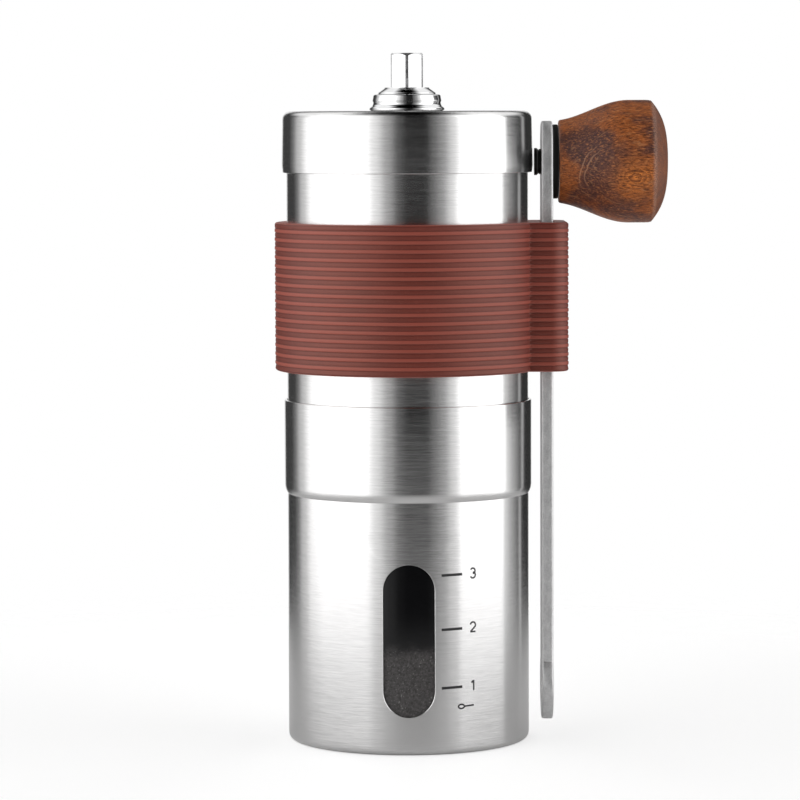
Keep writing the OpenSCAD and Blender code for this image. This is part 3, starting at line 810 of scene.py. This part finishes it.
def drawn_in(outline, amount):
    """A closed, anticlockwise outline with every point moved inwards."""
    moved = []
    count = len(outline)
    for i, point in enumerate(outline):
        before, after = Vector(outline[i - 1]), Vector(outline[(i + 1) % count])
        direction = (after - before).normalized()
        moved.append((point[0] - direction.y * amount, point[1] + direction.x * amount))
    return moved


def add_plate(bm, outer, holes, x0, x1, edge):
    """A flat plate between x0 and x1 with rounded edges. Its outlines are (across, up)."""
    angles = [math.radians(t) for t in (90, 60, 30, 0)]
    profile = [(x0 + edge * (1 - math.sin(a)), edge * (1 - math.cos(a))) for a in angles]
    profile += [(x0 + x1 - x, inset) for x, inset in reversed(profile)]
    for outline, sign in [(outer, 1)] + [(hole, -1) for hole in holes]:
        bridge_all(bm, [add_ring(bm, [(x, y, z) for y, z in drawn_in(outline, sign * inset)])
                        for x, inset in profile])
    for x in (x0, x1):
        fill_flat(bm, 0, x)


def make_crank_arm():
    low, high = span("crank_arm")
    knob_low, knob_high = span("crank_knob")
    knob_z = (knob_low.z + knob_high.z) / 2
    socket_z = low.z + high.y
    corner = HEX_AF / 2 / math.cos(math.radians(30))
    hexagon = []
    for side in range(6):
        a, b = [(corner * math.cos(math.radians(t)), socket_z + corner * math.sin(math.radians(t)))
                for t in (60 * side, 60 * side + 60)]
        hexagon += line(a, b, 4)[:-1]
    axle = arc((0, knob_z), AXLE_R, 0, 360, 32)[:-1]
    bm = bmesh.new()
    add_plate(bm, arm_outline(low, high), [axle, hexagon], low.x, high.x, ARM_EDGE)
    arm = add_object("crank_arm_skin", bm, ARM_STEEL, "crank", ["crank_arm"])
    arm.visible_glossy = False
    return arm


def lathe_along_x(outline, axis_z):
    """Turns an outline of (radius, x) about the knob's axis."""
    return lathe_mesh(outline, lambda y, z, x: (x, y, axis_z + z))


def make_knob_washer():
    low, high = span("knob_washer")
    axis_z, radius = (low.z + high.z) / 2, high.y
    bore, edge = 2.2, 0.3
    outline = [(bore, low.x), (radius - edge, low.x), *arc((radius - edge, low.x + edge), edge, -90, 0, 5),
               *arc((radius - edge, high.x - edge), edge, 0, 90, 5), (bore, high.x)]
    turned = lathe_along_x(outline, axis_z)
    washer = add_object("knob_washer_skin", turned, WASHER_PLASTIC, "crank", ["knob_washer"])
    washer.visible_glossy = False
    return washer


def make_knob():
    """The knob swells from its neck on half a cosine wave and ends in a shallow dome."""
    low, high = span("crank_knob")
    axis_z, belly_r = (low.z + high.z) / 2, high.y
    neck_r, bore, depth = 7.95, 3.2, 11.5
    middle, swing = (belly_r + neck_r) / 2, (belly_r - neck_r) / 2
    neck = [(middle - swing * math.cos(math.pi * min(1, (s + 1.4) / 15)), low.x + s)
            for s in [0.45 + 0.5 * i for i in range(28)]]
    rim = arc((neck[0][0] - 0.42, low.x + 0.4), 0.4, -90, 0, 5)
    belly_x = high.x - KNOB_CROWN
    dome = []
    for i in range(1, 25):
        share = math.cos(math.pi / 2 * i / 24)
        dome.append(((belly_r - 0.12) * share, belly_x + KNOB_CROWN * (1 - share ** 3.2)))
    dome[-1] = (0, high.x)
    outline = [(0, low.x + depth), (bore, low.x + depth), (bore, low.x), *rim, *neck, (belly_r, low.x + 14.6),
               (belly_r, belly_x - 1.2), (belly_r - 0.03, belly_x - 0.5), *dome]
    wood = stained_wood("stained_wood", neck_x=low.x, axis_z=axis_z, end_x=high.x)
    turned = lathe_along_x(outline, axis_z)
    knob = add_object("crank_knob_skin", turned, wood, "knob", ["crank_knob"], sharp=50)
    for piece in (knob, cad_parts["knob_insert"]):
        piece.visible_glossy = False    # the steel beside it mirrors a grey flag instead
    return knob


# ---------- studio ----------

EYE_DISTANCE = 0.745
EYE_HEIGHT = 0.122
AIM_HEIGHT = 0.0663
AIM_X = -0.00155
LENS = 172.1
ROLL = -0.2             # degrees

# Brightness of the surroundings by bearing from the camera's side, in degrees: a dark gap where the camera
# stands, two softboxes, black flags behind them and a pale backdrop.
SURROUNDINGS = (
    (-180, 0.55), (-168, 0.5), (-162, 0.03), (-138, 0.03), (-132, 0.09), (-118, 0.38), (-103, 0.8),
    (-88, 1.0), (-42, 1.0), (-30, 0.55), (-18, 0.24), (-8, 0.06), (1, 0.01), (17, 0.01), (24, 0.09),
    (33, 0.2), (43, 0.48), (54, 1.0), (99, 1.0), (107, 0.62), (116, 0.34), (123, 0.2), (129, 0.07),
    (134, 0.3), (139, 0.02), (165, 0.02), (171, 0.5), (180, 0.55),
)
SOFTBOX_STRENGTH = 1.7
HIGH_PANELS = 0.6       # against the softboxes
LOW_FRONT = 0.05
FLAG_BEARING = 117      # degrees
FLAG_HALF_W = 11        # degrees
FLAG_TAKES = 0.8        # the share of the light
FLOOR_R = 0.24
FLOOR_GLOW = 0.5
FLOOR_MIRRORED = 0.8


def make_camera():
    data = bpy.data.cameras.new("camera")
    data.sensor_width = 36.0
    data.lens = LENS
    data.clip_start, data.clip_end = 0.05, 20.0
    camera = bpy.data.objects.new("camera", data)
    scene.collection.objects.link(camera)
    camera.location = (AIM_X, -EYE_DISTANCE, EYE_HEIGHT)
    towards = Vector((AIM_X, 0, AIM_HEIGHT)) - camera.location
    turn = towards.to_track_quat("-Z", "Y").to_euler()
    turn.rotate_axis("Z", math.radians(ROLL))
    camera.rotation_euler = turn
    scene.camera = camera


def make_world():
    world = bpy.data.worlds.new("studio")
    world.use_nodes = True
    scene.world = world
    sky = Nodes(world.node_tree)

    def fade(value, start, end, top=1.0):
        """0 at start, changing smoothly to top at end."""
        return sky.remap(value, start, end, 0.0, top, smooth=True)

    def fade_degrees(angle, start, end):
        return fade(angle, math.radians(start), math.radians(end))

    x, y, z = sky.node("SeparateXYZ", Vector=sky.node("TexCoord").outputs["Generated"]).outputs
    bearing = sky.math("ARCTAN2", x, sky.math("MULTIPLY", y, -1.0))
    off_axis = sky.math("ABSOLUTE", bearing)
    ramp = sky.node("ValToRGB", i0=sky.remap(bearing, -math.pi, math.pi))
    ramp.color_ramp.interpolation = "EASE"
    stops = ramp.color_ramp.elements
    while len(stops) > 1:
        stops.remove(stops[-1])
    stops[0].position = 0.0
    stops[0].color = (SURROUNDINGS[0][1],) * 3 + (1,)
    for angle, level in SURROUNDINGS[1:]:
        stop = stops.new((angle + 180) / 360)
        stop.color = (level, level, level, 1)
    # The softboxes reach to about 50 degrees up, the backdrop to about 20.
    backdrop_top = sky.product(fade(y, 0.6, 0.85), fade(z, 0.2, 0.42))
    below = sky.remap(z, -0.85, -0.35, 0.25, 1.0, smooth=True)
    sides = sky.product(ramp.outputs[0], fade(z, 0.93, 0.55), sky.math("SUBTRACT", 1.0, backdrop_top), below)
    # What lies low in front of the object is paler than the dark gap above it.
    low_front = sky.product(fade(z, -0.06, -0.2, LOW_FRONT), fade_degrees(off_axis, 80, 45))
    sides = sky.math("MAXIMUM", sides, low_front)
    # A grey flag stands to the right, from just under eye level upwards.
    from_flag = sky.math("ABSOLUTE", sky.math("SUBTRACT", bearing, math.radians(FLAG_BEARING)))
    flag = sky.product(fade_degrees(from_flag, FLAG_HALF_W + 5, FLAG_HALF_W),
                       fade(z, -0.06, -0.035, FLAG_TAKES))
    sides = sky.product(sides, sky.math("SUBTRACT", 1.0, flag))
    # Two high panels stand behind, left and right.
    panels = sky.product(fade_degrees(off_axis, 80, 100), fade_degrees(off_axis, 164, 148),
                         fade(z, 0.25, 0.5), fade(z, 0.97, 0.86, HIGH_PANELS))
    strength = sky.product(sky.math("MAXIMUM", sides, panels), SOFTBOX_STRENGTH)
    studio = sky.node("Background", Color=(1, 1, 1, 1), Strength=strength).outputs[0]
    backdrop = sky.node("Background", Color=(1, 1, 1, 1), Strength=1.0).outputs[0]
    seen = sky.node("LightPath").outputs["Is Camera Ray"]
    surface = sky.node("MixShader", i0=seen, i1=studio, i2=backdrop).outputs[0]
    sky.put(sky.tree.nodes["World Output"].inputs["Surface"], surface)


def make_floor():
    """A white table top that fades into the white surroundings. What the steel mirrors of it is duller."""
    look = Look("table_top", Roughness=0.6, Base_Color=(0.85, 0.85, 0.85, 1), Emission_Color=(1, 1, 1, 1),
                Emission_Strength=FLOOR_GLOW)
    mirrored = look.node("BsdfDiffuse", Color=(FLOOR_MIRRORED,) * 3 + (1,)).outputs[0]
    seen = look.node("LightPath").outputs["Is Camera Ray"]
    top = look.node("MixShader", i0=seen, i1=mirrored, i2=look.shader.outputs[0]).outputs[0]
    clear = look.node("BsdfTransparent").outputs[0]
    distance = look.length(look.node("TexCoord").outputs["Object"])
    fade = look.remap(distance, FLOOR_R * 0.55, FLOOR_R * 0.98, smooth=True)
    surface = look.node("MixShader", i0=fade, i1=top, i2=clear).outputs[0]
    look.put(look.tree.nodes["Material Output"].inputs["Surface"], surface)
    bm = bmesh.new()
    bmesh.ops.create_circle(bm, cap_ends=True, segments=96, radius=FLOOR_R)
    mesh = bpy.data.meshes.new("table_top")
    bm.to_mesh(mesh)
    bm.free()
    mesh.materials.append(look.material)
    floor = bpy.data.objects.new("table_top", mesh)
    floor.location.z = cad_box[0].z - 0.00002
    scene.collection.objects.link(floor)


make_camera()
make_world()
make_floor()
dress_cad_nodes()
make_burr_spring()
make_cup_shell()
make_marks()
make_lid_cap()
make_lid_hub()
make_grip_sleeve()
make_crank_arm()
make_knob_washer()
make_knob()
scene.view_settings.view_transform = "Standard"
